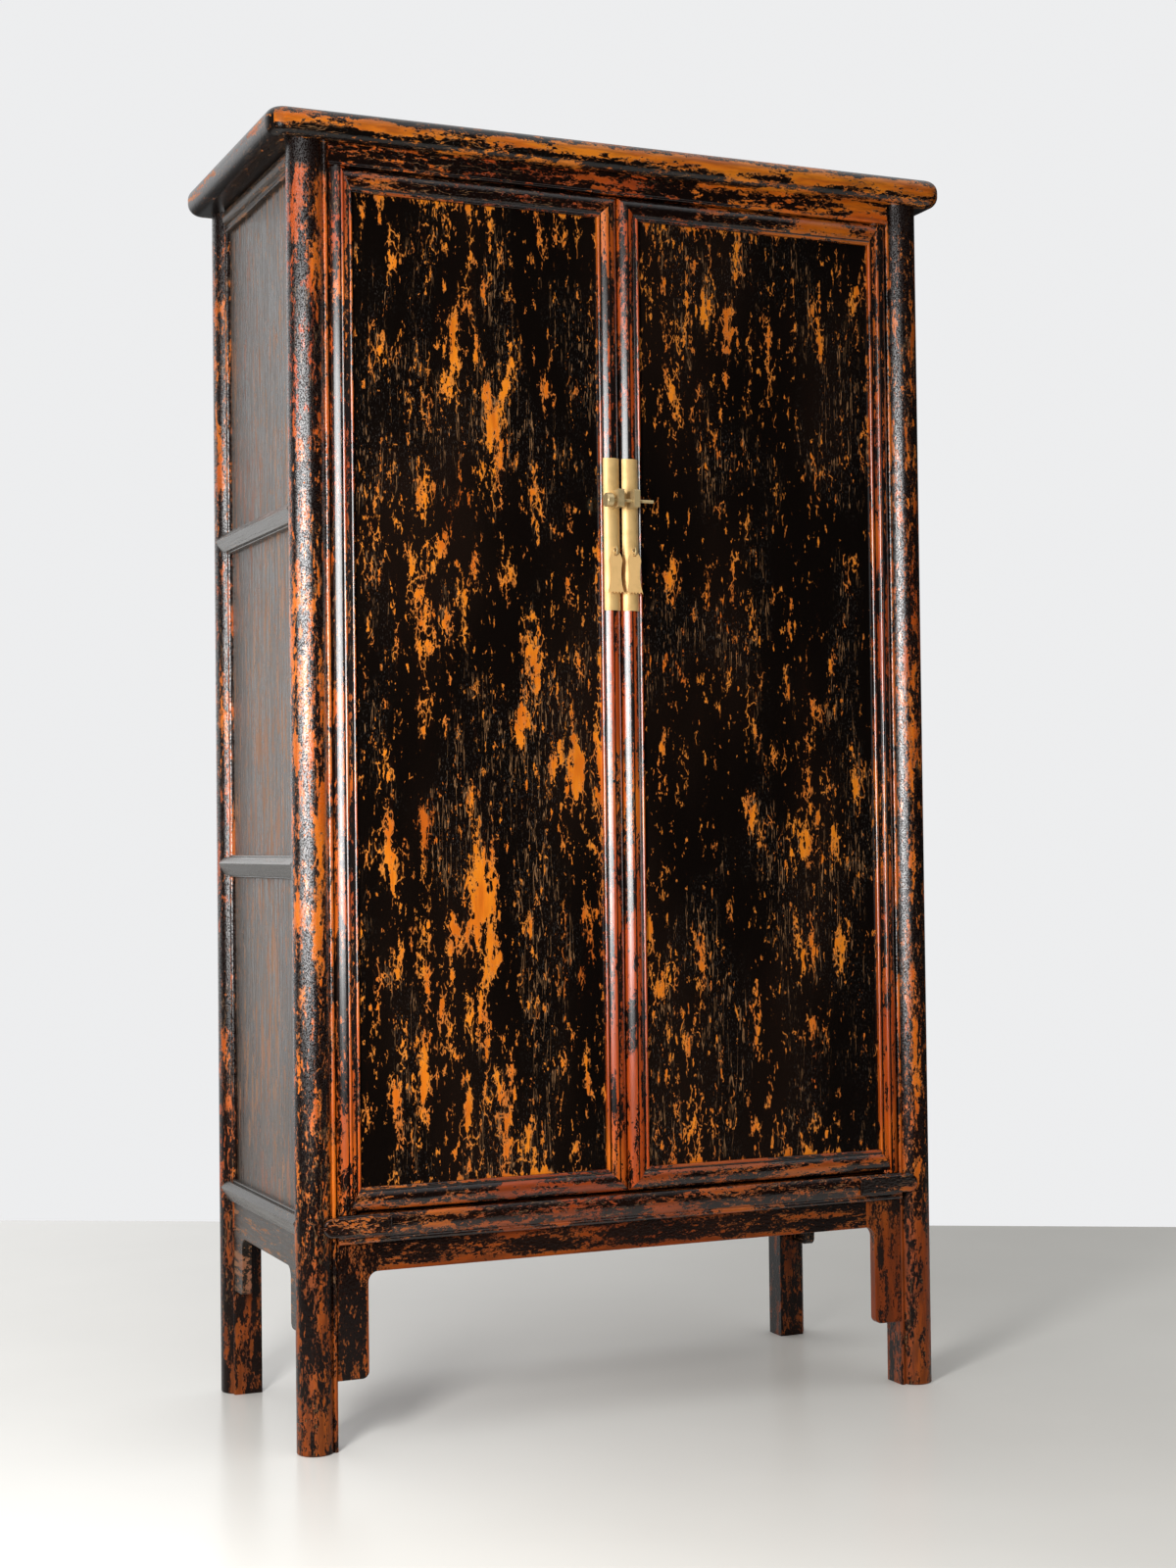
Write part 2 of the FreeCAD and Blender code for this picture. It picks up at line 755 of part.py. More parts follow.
# Rails, friezes and panels that enter the posts.
parts["frieze_front"] = front_frieze()
frieze_back_face = half_depth - frieze_set
parts["frieze_back"] = back_rail(front_frieze_bottom, carcass_top, frieze_back_face, frieze_thickness)
parts["frieze_left"] = side_frieze()
parts["side_rail_left_upper"] = side_rail(upper_rail_height)
parts["side_rail_left_middle"] = side_rail(middle_rail_height)
parts["side_rail_left_lower"] = side_rail(lower_rail_height)
half_rail = side_rail_height / 2
parts["side_panel_left_upper"] = side_panel(upper_rail_height + half_rail, side_frieze_bottom)
parts["side_panel_left_middle"] = side_panel(middle_rail_height + half_rail, upper_rail_height - half_rail)
parts["side_panel_left_lower"] = side_panel(lower_rail_height + half_rail, middle_rail_height - half_rail)
parts["bottom_rail_front"] = bottom_rail()
parts["pivot_block_left"] = pivot_block()
parts["pivot_block_right"] = flip_x(pivot_block())
rail_back_face = half_depth - bottom_rail_set
parts["bottom_rail_back"] = back_rail(bottom_rail_low, bottom_rail_top, rail_back_face, bottom_rail_thickness)
back_rail_low = middle_rail_height - back_rail_height / 2
back_rail_high = middle_rail_height + back_rail_height / 2
parts["back_rail_middle"] = back_rail(back_rail_low, back_rail_high, frieze_back_face, frieze_thickness)


def back_panel(low, high):
    reach = inner_x + panel_tongue
    return box(-reach, reach, back_panel_back - back_panel_thickness, back_panel_back,
               low - panel_tongue, high + panel_tongue)


parts["back_panel_upper"] = back_panel(back_rail_high, front_frieze_bottom)
parts["back_panel_lower"] = back_panel(bottom_rail_top, back_rail_low)

# Grooves in the rails for the panels, seats for the blocks and sockets for the door pivots.
side_panels = [parts["side_panel_left_" + place] for place in ("upper", "middle", "lower")]
for name in ("frieze_left", "side_rail_left_upper", "side_rail_left_middle", "side_rail_left_lower"):
    parts[name] = parts[name].cut(side_panels)
back_panels = [parts["back_panel_upper"], parts["back_panel_lower"]]
for name in ("frieze_back", "bottom_rail_back", "back_rail_middle"):
    parts[name] = parts[name].cut(back_panels)
upper_socket_end = front_frieze_bottom - rod_end_gap + pivot_length + pivot_end_gap
lower_socket_end = bottom_rail_top + rod_end_gap - pivot_length - pivot_end_gap
upper_sockets = [pivot_hole(x, front_frieze_bottom, upper_socket_end) for x in (-pivot_x, pivot_x)]
lower_sockets = [pivot_hole(x, lower_socket_end, bottom_rail_top) for x in (-pivot_x, pivot_x)]
blocks = [parts["pivot_block_left"], parts["pivot_block_right"]]
parts["frieze_front"] = parts["frieze_front"].cut(upper_sockets)
parts["bottom_rail_front"] = parts["bottom_rail_front"].cut(blocks + lower_sockets)

# The right side mirrors the left.
for name in list(parts):
    if "_left" in name and name != "pivot_block_left":
        parts[name.replace("_left", "_right")] = flip_x(parts[name])

# Posts with every joint cut into them.
entering = list(parts.values())
front_left = post()
raw_posts = {
    "post_front_left": front_left,
    "post_front_right": flip_x(front_left),
    "post_back_left": flip_y(front_left),
    "post_back_right": flip_x(flip_y(front_left)),
}
for name, shape in raw_posts.items():
    near = [cutter for cutter in entering if cutter.BoundBox.intersect(shape.BoundBox)]
    parts[name] = shape.cut(near)

parts.update(top_parts(list(raw_posts.values())))

# Aprons, shelves and the cabinet floor.
parts["apron_front"] = front_apron()
parts["spandrel_front_left"] = front_spandrel()
parts["spandrel_front_right"] = flip_x(front_spandrel())
parts["apron_left"] = side_apron()
parts["apron_right"] = flip_x(side_apron())
apron_back_face = half_depth - apron_set
parts["apron_back"] = box(-inner_x, inner_x, apron_back_face - apron_thickness, apron_back_face,
                          apron_low, bottom_rail_low)
parts["shelf_upper"] = shelf(upper_rail_height - half_rail + ledge_height + shelf_thickness)
parts["shelf_lower"] = shelf(middle_rail_height - half_rail + ledge_height + shelf_thickness)
parts["cabinet_floor"] = shelf(lower_rail_height - half_rail + ledge_height + shelf_thickness)

# Doors and the pin that locks them.
for name, shape in door(left_door_width, door_height).items():
    parts["left_door_" + name] = place_left(shape)
for name, shape in door(right_door_width, door_height).items():
    parts["right_door_" + name] = place_right(shape)
parts["lock_pin"] = lock_pin()

os.makedirs("parts", exist_ok=True)
for name in sorted(parts):
    shift(parts[name], 0, centre_shift, 0).exportStep("parts/" + name + ".step")
print(len(parts), "pieces, moved back by", round(centre_shift, 3))
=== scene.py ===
import bpy
import itertools
import math
from mathutils import Matrix, Vector


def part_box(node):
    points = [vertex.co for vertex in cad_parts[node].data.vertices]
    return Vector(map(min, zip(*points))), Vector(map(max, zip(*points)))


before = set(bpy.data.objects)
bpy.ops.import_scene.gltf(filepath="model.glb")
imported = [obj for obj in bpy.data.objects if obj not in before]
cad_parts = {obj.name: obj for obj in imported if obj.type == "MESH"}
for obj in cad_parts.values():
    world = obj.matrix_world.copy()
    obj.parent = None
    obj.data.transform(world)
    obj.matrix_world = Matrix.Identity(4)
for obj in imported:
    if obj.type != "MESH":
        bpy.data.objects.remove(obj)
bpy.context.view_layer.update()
print("frame loaded,", len(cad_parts), "pieces")


# One socket of a node tree. Sums, differences and products of sockets and numbers add Math nodes.
class Wire:
    def __init__(self, tree, socket=None):
        self.tree = tree
        self.socket = socket

    # A node of any kind: its settings first, then the values or links of its sockets.
    def node(self, kind, settings=None, sockets=None, output=0):
        made = self.tree.nodes.new("ShaderNode" + kind)
        for key, value in (settings or {}).items():
            setattr(made, key, value)
        for key, value in (sockets or {}).items():
            if isinstance(value, Wire):
                self.tree.links.new(value.socket, made.inputs[key])
            else:
                made.inputs[key].default_value = value
        return Wire(self.tree, made.outputs[output])

    def math(self, operation, first, second=0.0):
        return self.node("Math", {"operation": operation}, {0: first, 1: second})

    def __add__(self, other):
        return self.math("ADD", self, other)

    __radd__ = __add__

    def __sub__(self, other):
        return self.math("SUBTRACT", self, other)

    def __rsub__(self, other):
        return self.math("SUBTRACT", other, self)

    def __mul__(self, other):
        return self.math("MULTIPLY", self, other)

    __rmul__ = __mul__

    def __abs__(self):
        return self.math("ABSOLUTE", self)

    def least(self, other):
        return self.math("MINIMUM", self, other)

    def most(self, other):
        return self.math("MAXIMUM", self, other)


# 0 below low, 1 above high, an S-shaped step between them.
def step(value, low, high):
    return value.node("MapRange", {"interpolation_type": "SMOOTHSTEP"},
                      {"Value": value, "From Min": low, "From Max": high, "To Min": 0.0, "To Max": 1.0})


# 1 within 0.15 of a width from the line, falling to 0 at half a width.
def ridge(value, line, width):
    return 1 - step(abs(value - line), width * 0.15, width * 0.5)


# The point times a factor on each axis.
def scaled(point, factors):
    return point.node("VectorMath", {"operation": "MULTIPLY"}, {0: point, 1: factors})


# Layered noise, 0 to 1, at that many lumps to the metre.
def noise(point, scale, detail=2.0, rough=0.5, twist=0.0):
    return point.node("TexNoise", {"noise_dimensions": "3D"},
                      {"Vector": point, "Scale": scale, "Detail": detail, "Roughness": rough,
                       "Distortion": twist})


# The point moved about by noise, at most so far.
def shaken(point, scale, reach):
    moves = point.node("TexNoise", None, {"Vector": point, "Scale": scale, "Detail": 2.0}, output="Color")
    return point.node("VectorMath", {"operation": "MULTIPLY_ADD"},
                      {0: moves, 1: (reach, reach, reach), 2: point})


# Cells of a Voronoi pattern: the place of a cell's middle, or the distance to its edge.
def cells(point, feature, scale, output):
    return point.node("TexVoronoi", {"feature": feature}, {"Vector": point, "Scale": scale}, output)


mixSockets = {"share": 0, "low": 6, "high": 7, "result": 2}  # by number, because Mix repeats its names


# One colour where mask is 0, the other where it is 1.
def blendColour(mask, low, high):
    def whole(colour):
        return colour if isinstance(colour, Wire) else (*colour, 1)
    sockets = {mixSockets["share"]: mask, mixSockets["low"]: whole(low), mixSockets["high"]: whole(high)}
    return mask.node("Mix", {"data_type": "RGBA"}, sockets, mixSockets["result"])


# A new material: its shader node, its Object coordinates and their three numbers.
def newFinish(name):
    material = bpy.data.materials.new(name)
    material.use_nodes = True
    tree = material.node_tree
    point = Wire(tree).node("TexCoord", output="Object")
    split = point.node("SeparateXYZ", None, {0: point}).socket.node
    x, y, z = (Wire(tree, out) for out in split.outputs)
    return material, tree.nodes["Principled BSDF"], point, x, y, z


# Links a value that varies to one of the shader's sockets.
def feed(shader, name, value):
    shader.id_data.links.new(value.socket, shader.inputs[name])


# The surface bumped by height times depth, in metres.
def feedBump(shader, height, depth, strength=1.0):
    bump = height.node("Bump", None, {"Strength": strength, "Distance": depth, "Height": height})
    feed(shader, "Normal", bump)


# Puts the material into every slot of the named pieces.
def dress(material, *pieces):
    for piece in pieces:
        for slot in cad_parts[piece].material_slots:
            slot.material = material


# Names of pieces: the pattern filled with every choice of words.
def each(pattern, *choices):
    return [pattern % words for words in itertools.product(*choices)]


hands = ("left", "right")

# Places on the cabinet in metres, from the boxes of its solids.
postLow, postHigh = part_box("post_front_left")
stileLow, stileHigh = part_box("left_door_meeting_stile")
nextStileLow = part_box("right_door_meeting_stile")[0]
apronBottom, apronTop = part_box("apron_front")
middleY = (postLow.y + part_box("post_back_left")[1].y) / 2
place = {
    "middleY": middleY, "innerX": -postHigh.x, "innerY": middleY - postHigh.y,
    "doorOuter": -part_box("left_door_pivot_stile")[0].x, "doorLow": stileLow.z, "doorHigh": stileHigh.z,
    "meetingX": (stileHigh.x + nextStileLow.x) / 2, "halfGap": (nextStileLow.x - stileHigh.x) / 2,
    "frameWidth": stileHigh.x - stileLow.x, "boardLow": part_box("top_frame_front")[0].z,
    "apronLow": apronBottom.z, "apronEnd": apronTop.x,
}


# How far in from a door's upright edges: the lesser of the ways to its outer edge and to the meeting gap.
def doorSide(x):
    return (place["doorOuter"] - abs(x)).least(abs(x - place["meetingX"]) - place["halfGap"])


# How far in from a door's ends: the lesser of the ways to its bottom and to its top.
def doorEnd(z):
    return (z - place["doorLow"]).least(place["doorHigh"] - z)


# Colours of the lacquer, from the black coat down to the bare ochre ground. The rim is a painted highlight.
lacquerTones = {
    "black": (0.0030, 0.0018, 0.0013), "brownBlack": (0.008, 0.0042, 0.0028), "thin": (0.040, 0.010, 0.004),
    "paintedGlint": (0.060, 0.052, 0.046), "crack": (0.42, 0.21, 0.09), "rim": (0.70, 0.32, 0.105),
    "ochre": (0.64, 0.180, 0.009), "orange": (0.52, 0.115, 0.007), "red": (0.36, 0.070, 0.008),
    "leg": (0.170, 0.033, 0.004), "stain": (0.060, 0.015, 0.004),
}

# What a piece may set. Scales are lumps to the metre, a stretch is length along the grain over width.
lacquerLook = {
    "grain": "z", "tones": {},
    "edge": 0.624,                                             # wear above this bares the ground
    "patchScale": 56.0, "stretch": 4.2, "torn": 0.66,          # bare patches
    "flake": 0.65, "flakeScale": 230.0, "flakeStretch": 2.4,   # share of the patches that goes by flakes
    "bitsLess": 0.045,                                         # how much less the small bits wear
    "drift": 0.20, "driftScale": 6.0, "driftStretch": 0.7,     # slow change, its stretch a share of stretch
    "grit": 0.15, "gritScale": 260.0,                          # fine raggedness of the patches
    "net": 0.8, "netScale": 95.0,                              # net of lines beside the patches
    "cracks": 0.6, "crackScale": 120.0, "crackStretch": 14.0,  # hair-thin cracks
    "dots": 0.4, "clusterScale": 10.0,                         # painted glints as grey dots, clusters of dots and cracks
    "redden": -0.05, "rim": 0.25, "stain": 0.15, "legBrown": 0.0,  # tints of the ground; the rim is a painted highlight
    "thin": 0.1, "streaks": 0.0, "lowPaintedShade": 0.0,              # tints of the coat; the last is a painted shade low down
    "gloss": 0.14, "shine": 0.28,                              # roughness and specular level
    "relief": 0.04, "grainScale": 330.0, "grainStretch": 2.0,  # grain in the surface
    "polish": 0.0, "polishRough": 0.3, "polishIndex": 1.7, "even": 0.0,  # speckled clear coat
}

# Where a feature starts to change and where it has changed: by the level of wear, which is 0 at the edge of
# the bare ground, and by the height above the floor in metres.
wearRange = {"thin": (-0.10, 0.0), "net": (-0.065, -0.03), "bare": (0.0, 0.012), "deep": (0.008, 0.030)}
# The black height range is where the painted shade low down ends.
heightRange = {"leg": (0.22, 0.36), "black": (0.225, 0.245), "polish": (0.30, 0.60)}
roughening = {"bare": 0.16, "crack": 0.12, "grit": 0.14, "streak": 0.3}  # added to the gloss
coatDepth = {"coat": 0.22, "crack": 0.18, "unit": 0.0008}  # the unit is in metres


# The point squeezed along the grain, so that a pattern comes out so many times longer than wide.
def drawn(point, look, stretch):
    return scaled(point, [1 / stretch if axis == look["grain"] else 1.0 for axis in "xyz"])


# Noise drawn out along the grain. With a cut it is a mask, stepped between the cut's two values.
def grained(point, look, stretch, scale, cut=None, shift=0.0, **form):
    value = noise(drawn(point, look, stretch), scale, **form)
    return step(value, cut[0] - shift, cut[1] - shift) if cut else value


# Patches are drawn-out noise, mixed with the same noise read at the middles of flakes, which chips their
# outlines. Small bits count where they stand higher. The piece's own worn places raise both.
def wornPatches(point, look, worn, bitsFiner=2.4, bitsShare=0.6):
    flaky = shaken(drawn(point, look, look["flakeStretch"]), scale=260.0, reach=0.004)
    flakeMiddle = cells(flaky, "F1", look["flakeScale"], "Position")
    patch = {"scale": look["patchScale"], "rough": look["torn"], "twist": 0.15}
    whole = grained(point, look, look["stretch"], detail=7.0, **patch)
    chipped = grained(flakeMiddle, look, look["stretch"] / look["flakeStretch"], detail=6.0, **patch)
    bits = grained(point, look, stretch=3.2, scale=look["patchScale"] * bitsFiner, detail=4.0, rough=0.6)
    patches = whole * (1 - look["flake"]) + chipped * look["flake"]
    return (patches + worn).most(bits + bitsShare * worn - look["bitsLess"])


# A net of thin bare lines: the edges of shaken cells, where the wear almost bares the ground.
def netLines(point, look, level):
    shaky = shaken(drawn(point, look, stretch=2.3), scale=110.0, reach=0.012)
    away = cells(shaky, "DISTANCE_TO_EDGE", look["netScale"], "Distance")
    return (1 - step(away, low=0.02, high=0.07)) * step(level, *wearRange["net"]) * look["net"]


# Cracks are the middle contours of drawn-out noise, broken up and kept to clusters and to the patches'
# surroundings. Dots, painted glints, are the peaks of fine noise in the same clusters.
def cracksAndDots(point, look, level, patchPull=0.5):
    cluster = grained(point, look, stretch=2.6, scale=look["clusterScale"], twist=0.4)
    vein = grained(point, look, look["crackStretch"], look["crackScale"], detail=3.0, rough=0.6, twist=0.15)
    broken = grained(point, look, stretch=3.0, scale=150.0, detail=1.0, cut=(0.45, 0.53))
    nearby = step(cluster + patchPull * level, low=0.42, high=0.54)
    line = 1 - step(abs(vein - 0.5), low=0.004, high=0.014)
    dot = grained(point, look, stretch=2.5, scale=620.0, rough=0.55, cut=(0.60, 0.66))
    dots = dot * step(cluster, low=0.44, high=0.62) * look["dots"]
    return line * broken * nearby * look["cracks"], dots


# Bare ground: orange to ochre by noise, red in broad places, a painted highlight as a pale rim where it is
# only just bare, brown on the legs, dark stains along the grain.
def groundColour(point, look, tones, level, z, tintFiner=0.7, legStain=0.4):
    tint = grained(point, look, look["stretch"], look["patchScale"] * tintFiner, detail=3.0, rough=0.55,
                   cut=(0.38, 0.60))
    red = grained(point, look, stretch=2.0, scale=6.0, shift=look["redden"], cut=(0.50, 0.72))
    leg = look["legBrown"] * (1 - step(z, *heightRange["leg"]))
    stain = grained(point, look, stretch=8.0, scale=120.0, detail=4.0, rough=0.65, cut=(0.40, 0.62))
    colour = blendColour(tint, tones["orange"], tones["ochre"])
    colour = blendColour(red, colour, tones["red"])
    # Painted highlight: the pale rim along the edges of the bare patches stands in for light caught on the
    # broken coat's edge.
    rim = look["rim"] * (1 - step(level, *wearRange["deep"])) * (1 - red)
    colour = blendColour(rim, colour, tones["rim"])
    colour = blendColour(leg, colour, tones["leg"])
    return blendColour((look["stain"] + legStain * leg) * stain, colour, tones["stain"])


# Worn lacquer. Where the level of wear passes the edge, or a net line runs, the ground shows; elsewhere the
# coat, black to brown by drift and streaks, thin and brown near the patches, with grey dots of painted glint,
# pale cracks, and on some pieces painted shade, black low down. The coat stands above the ground, and a clear
# coat in fine specks gives some pieces a grainy sheen.
def lacquer(name, look, extraWear=None):
    material, shader, point, x, y, z = newFinish(name)
    tones = {**lacquerTones, **look["tones"]}
    drift = grained(point, look, look["stretch"] * look["driftStretch"], look["driftScale"])
    grit = grained(point, look, stretch=1.8, scale=look["gritScale"], detail=3.0, rough=0.65)
    worn = look["drift"] * (drift - 0.5)
    if extraWear:
        worn = worn + extraWear(point, x, y, z)
    level = wornPatches(point, look, worn) + look["grit"] * (grit - 0.5) - look["edge"]
    bare = step(level, *wearRange["bare"]).most(netLines(point, look, level))
    cracks, dots = cracksAndDots(point, look, level)

    streak = grained(point, look, stretch=24.0, scale=240.0, detail=3.0, rough=0.6, cut=(0.38, 0.62))
    shade = step(drift, low=0.42, high=0.72) * (1 - look["streaks"]) + look["streaks"] * streak
    coat = blendColour(shade, tones["black"], tones["brownBlack"])
    coat = blendColour(look["thin"] * step(level, *wearRange["thin"]), coat, tones["thin"])
    # Painted glints: grey dots on the black coat.
    coat = blendColour(dots, coat, tones["paintedGlint"])
    # Painted shade: on some pieces the coat goes black below a height.
    coat = blendColour(look["lowPaintedShade"] * (1 - step(z, *heightRange["black"])), coat, lacquerTones["black"])
    coat = blendColour(cracks, coat, tones["crack"])
    feed(shader, "Base Color", blendColour(bare, coat, groundColour(point, look, tones, level, z)))

    rough = look["gloss"] + roughening["bare"] * bare + roughening["crack"] * cracks
    rough = rough + roughening["grit"] * (grit - 0.5)
    feed(shader, "Roughness", rough + look["streaks"] * roughening["streak"] * (streak - 0.5))
    grain = grained(point, look, look["grainStretch"], look["grainScale"], rough=0.55)
    height = (1 - bare) * coatDepth["coat"] + grain * look["relief"] - coatDepth["crack"] * cracks
    feedBump(shader, height, coatDepth["unit"])
    shader.inputs["Specular IOR Level"].default_value = look["shine"]
    if look["polish"]:
        speck = grained(point, look, stretch=1.5, scale=700.0, shift=look["even"], cut=(0.44, 0.56))
        feed(shader, "Coat Weight", look["polish"] * step(z, *heightRange["polish"]) * speck)
        shader.inputs["Coat Roughness"].default_value = look["polishRough"]
        shader.inputs["Coat IOR"].default_value = look["polishIndex"]
    return material


# Door panels: islands of ochre, hair-thin upright cracks, wear round the rim. Spots: x, z, radius, amount.
panelLook = {
    **lacquerLook, "spotTall": 3.0, "spotCore": 0.15, "spotWear": 0.75, "rimWear": 0.06, "rimWidth": 0.010,
    "rightLess": 0.014, "rightFrom": (0.0, 0.1),
    "tones": {"ochre": (0.72, 0.206, 0.011), "orange": (0.60, 0.136, 0.009), "red": (0.42, 0.078, 0.008)},
    "spots": [
        (-0.272, 1.684, 0.040, 0.08), (-0.128, 1.647, 0.022, 0.12), (-0.200, 1.605, 0.028, 0.11),
        (-0.258, 1.498, 0.026, 0.14), (-0.350, 1.503, 0.026, 0.11), (-0.172, 1.485, 0.024, 0.13),
        (-0.070, 1.434, 0.020, 0.12), (-0.120, 1.430, 0.024, 0.11), (-0.197, 1.353, 0.034, 0.15),
        (-0.297, 1.291, 0.024, 0.12), (-0.284, 1.221, 0.022, 0.13), (-0.141, 1.280, 0.022, 0.10),
        (-0.176, 1.179, 0.030, 0.08), (-0.307, 1.107, 0.034, 0.07), (-0.148, 1.077, 0.030, 0.09),
        (-0.159, 0.981, 0.028, 0.14), (-0.358, 0.906, 0.030, 0.13), (-0.352, 0.786, 0.030, 0.16),
        (-0.310, 0.812, 0.028, 0.11), (-0.225, 0.744, 0.040, 0.15), (-0.215, 0.676, 0.036, 0.14),
        (-0.222, 0.562, 0.034, 0.14), (-0.076, 0.906, 0.022, 0.14), (-0.313, 0.539, 0.022, 0.12),
        (-0.321, 0.440, 0.024, 0.12), (-0.056, 0.685, 0.022, 0.12), (-0.180, 0.430, 0.040, 0.09),
        (0.102, 1.659, 0.022, 0.11), (0.136, 1.575, 0.026, 0.10), (0.172, 1.566, 0.024, 0.10),
        (0.238, 1.565, 0.030, 0.12), (0.159, 1.472, 0.022, 0.14), (0.151, 1.393, 0.022, 0.15),
        (0.316, 1.602, 0.026, 0.09), (0.212, 1.377, 0.024, 0.10), (0.313, 1.362, 0.030, 0.09),
        (0.069, 1.195, 0.022, 0.12), (0.366, 1.206, 0.024, 0.12), (0.199, 1.134, 0.026, 0.13),
        (0.255, 1.150, 0.028, 0.11), (0.284, 0.906, 0.028, 0.12), (0.283, 0.820, 0.030, 0.14),
        (0.194, 0.835, 0.026, 0.13), (0.117, 0.639, 0.024, 0.12), (0.062, 0.612, 0.024, 0.11),
        (0.345, 0.639, 0.034, 0.11), (0.198, 0.537, 0.026, 0.10), (0.332, 0.805, 0.026, 0.11),
        (0.079, 1.047, 0.026, 0.09), (0.370, 0.900, 0.026, 0.10),
    ],
}


# Sum of soft worn spots, taller than wide. Each is its amount in the middle, falling to 0 at its radius.
def wornSpots(point, look):
    tall = look["spotTall"]
    flat = scaled(point, (1.0, 0.0, 1 / tall))
    total = None
    for spotX, spotZ, radius, amount in look["spots"]:
        middle = (spotX, 0.0, spotZ / tall)
        away = flat.node("VectorMath", {"operation": "DISTANCE"}, {0: flat, 1: middle}, "Value")
        spot = amount * (1 - step(away, radius * look["spotCore"], radius))
        total = spot if total is None else total + spot
    return total


# The spots, a worn margin inside the frame, and less wear on the right door.
def panelWear(point, x, y, z):
    rim = doorSide(x).least(doorEnd(z)) - place["frameWidth"]
    margin = panelLook["rimWear"] * (1 - step(rim, 0.0, panelLook["rimWidth"]))
    right = panelLook["rightLess"] * step(x, *panelLook["rightFrom"])
    return panelLook["spotWear"] * wornSpots(point, panelLook) + margin - right


dress(lacquer("panelLacquer", panelLook, panelWear), *each("%s_door_panel", hands))

# Posts: long upright patches, thin worn lines along the beads, browner legs, a grainy sheen.
postLook = {
    **lacquerLook, "edge": 0.513, "patchScale": 60.0, "stretch": 5.0, "torn": 0.68, "bitsLess": 0.08,
    "flake": 0.5, "flakeScale": 240.0, "flakeStretch": 2.2, "drift": 0.30, "driftScale": 7.0,
    "grit": 0.25, "gritScale": 240.0, "net": 0.5, "netScale": 110.0, "cracks": 0.35, "crackScale": 90.0,
    "crackStretch": 6.0, "clusterScale": 12.0, "redden": 0.02, "rim": 0.2, "stain": 0.30, "legBrown": 0.8,
    "gloss": 0.22, "shine": 0.15, "relief": 0.6, "grainScale": 340.0, "polish": 0.9, "polishRough": 0.28,
    "tones": {"black": (0.0045, 0.0016, 0.0010), "brownBlack": (0.010, 0.0036, 0.002),
              "orange": (0.52, 0.092, 0.004), "ochre": (0.63, 0.145, 0.006), "red": (0.38, 0.052, 0.004)},
    "beadWear": 0.08, "beadWidth": 0.007, "legWear": 0.015, "rightLegWear": 0.02, "legBeadLess": 0.7,
    "rightLess": 0.05, "backLess": 0.08, "topLess": 0.20,
    "legTop": (0.18, 0.30), "rightFrom": (0.0, 0.2), "backFrom": (0.0, 0.1), "topFrom": (1.70, 1.755),
}


# Beads wear most, then the legs. The right and back posts wear less, and the tops stay black.
def postWear(point, x, y, z):
    look = postLook
    inX = abs(x) - place["innerX"]
    inY = abs(y - place["middleY"]) - place["innerY"]
    beadLine, beadWidth = look["beadWidth"] / 2, look["beadWidth"]
    beads = ridge(inX, beadLine, beadWidth).most(ridge(inY, beadLine, beadWidth))
    legs = 1 - step(z, *look["legTop"])
    right = step(x, *look["rightFrom"])
    spared = look["rightLess"] * right * (1 - legs) + look["backLess"] * step(y, *look["backFrom"])
    spared = spared + look["topLess"] * step(z, *look["topFrom"])
    worn = look["beadWear"] * beads * (1 - look["legBeadLess"] * legs)
    return worn + legs * (look["legWear"] + look["rightLegWear"] * right) - spared


dress(lacquer("postLacquer", postLook, postWear), *each("post_%s_%s", ("front", "back"), hands))

# Stiles: redder, with two beads. Beads and grooves are so far in from the door's edge.
stileLook = {
    **postLook, "edge": 0.538, "grit": 0.26, "redden": 0.18, "legBrown": 0.0,
    "relief": 0.15, "gloss": 0.15, "polishRough": 0.22, "even": 0.2,
    "beads": (0.0288, 0.0164), "beadWidth": 0.006, "beadWear": 0.07,
    "grooves": (0.0255, 0.0137), "grooveWidth": 0.003, "grooveLess": 0.20,
    "lowWear": 0.06, "lowTop": (0.40, 0.85),
}


# Worn lines along the beads, black in the grooves beside them, more wear low down.
def stileWear(point, x, y, z):
    look = stileLook
    side = doorSide(x)
    innerBead, outerBead = (ridge(side, line, look["beadWidth"]) for line in look["beads"])
    innerGroove, outerGroove = (ridge(side, line, look["grooveWidth"]) for line in look["grooves"])
    worn = look["beadWear"] * innerBead.most(outerBead) + look["lowWear"] * (1 - step(z, *look["lowTop"]))
    return worn - look["grooveLess"] * innerGroove.most(outerGroove)


dress(lacquer("stileLacquer", stileLook, stileWear), *each("%s_door_%s_stile", hands, ("pivot", "meeting")))

# Rails of the doors and of the front: the same wear lying down, browner and without the grainy sheen.
railLook = {
    **postLook, "grain": "x", "edge": 0.540, "redden": 0.06, "stain": 0.45, "thin": 0.2, "legBrown": 0.6,
    "relief": 0.3, "gloss": 0.16, "shine": 0.5, "polish": 0.0, "beadWear": 0.06,
    "tones": {**postLook["tones"], "orange": (0.36, 0.066, 0.004), "ochre": (0.45, 0.106, 0.005),
              "red": (0.25, 0.036, 0.004)},
}


# A worn line along the rail's bead, black in the groove beside it.
def doorRailWear(point, x, y, z):
    end = doorEnd(z)
    bead = ridge(end, stileLook["beads"][0], stileLook["beadWidth"])
    groove = ridge(end, stileLook["grooves"][0], stileLook["grooveWidth"])
    return railLook["beadWear"] * bead - stileLook["grooveLess"] * groove


dress(lacquer("doorTopLacquer", railLook, doorRailWear), *each("%s_door_top_rail", hands))
dress(lacquer("doorBottomLacquer", {**railLook, "edge": 0.530}, doorRailWear),
      *each("%s_door_bottom_rail", hands))
dress(lacquer("railLacquer", {**railLook, "edge": 0.546}), "bottom_rail_front", "bottom_rail_back",
      "back_rail_middle", *each("pivot_block_%s", hands))
dress(lacquer("friezeLacquer", {**railLook, "edge": 0.522, "tones": postLook["tones"]}),
      "frieze_front", "frieze_back")

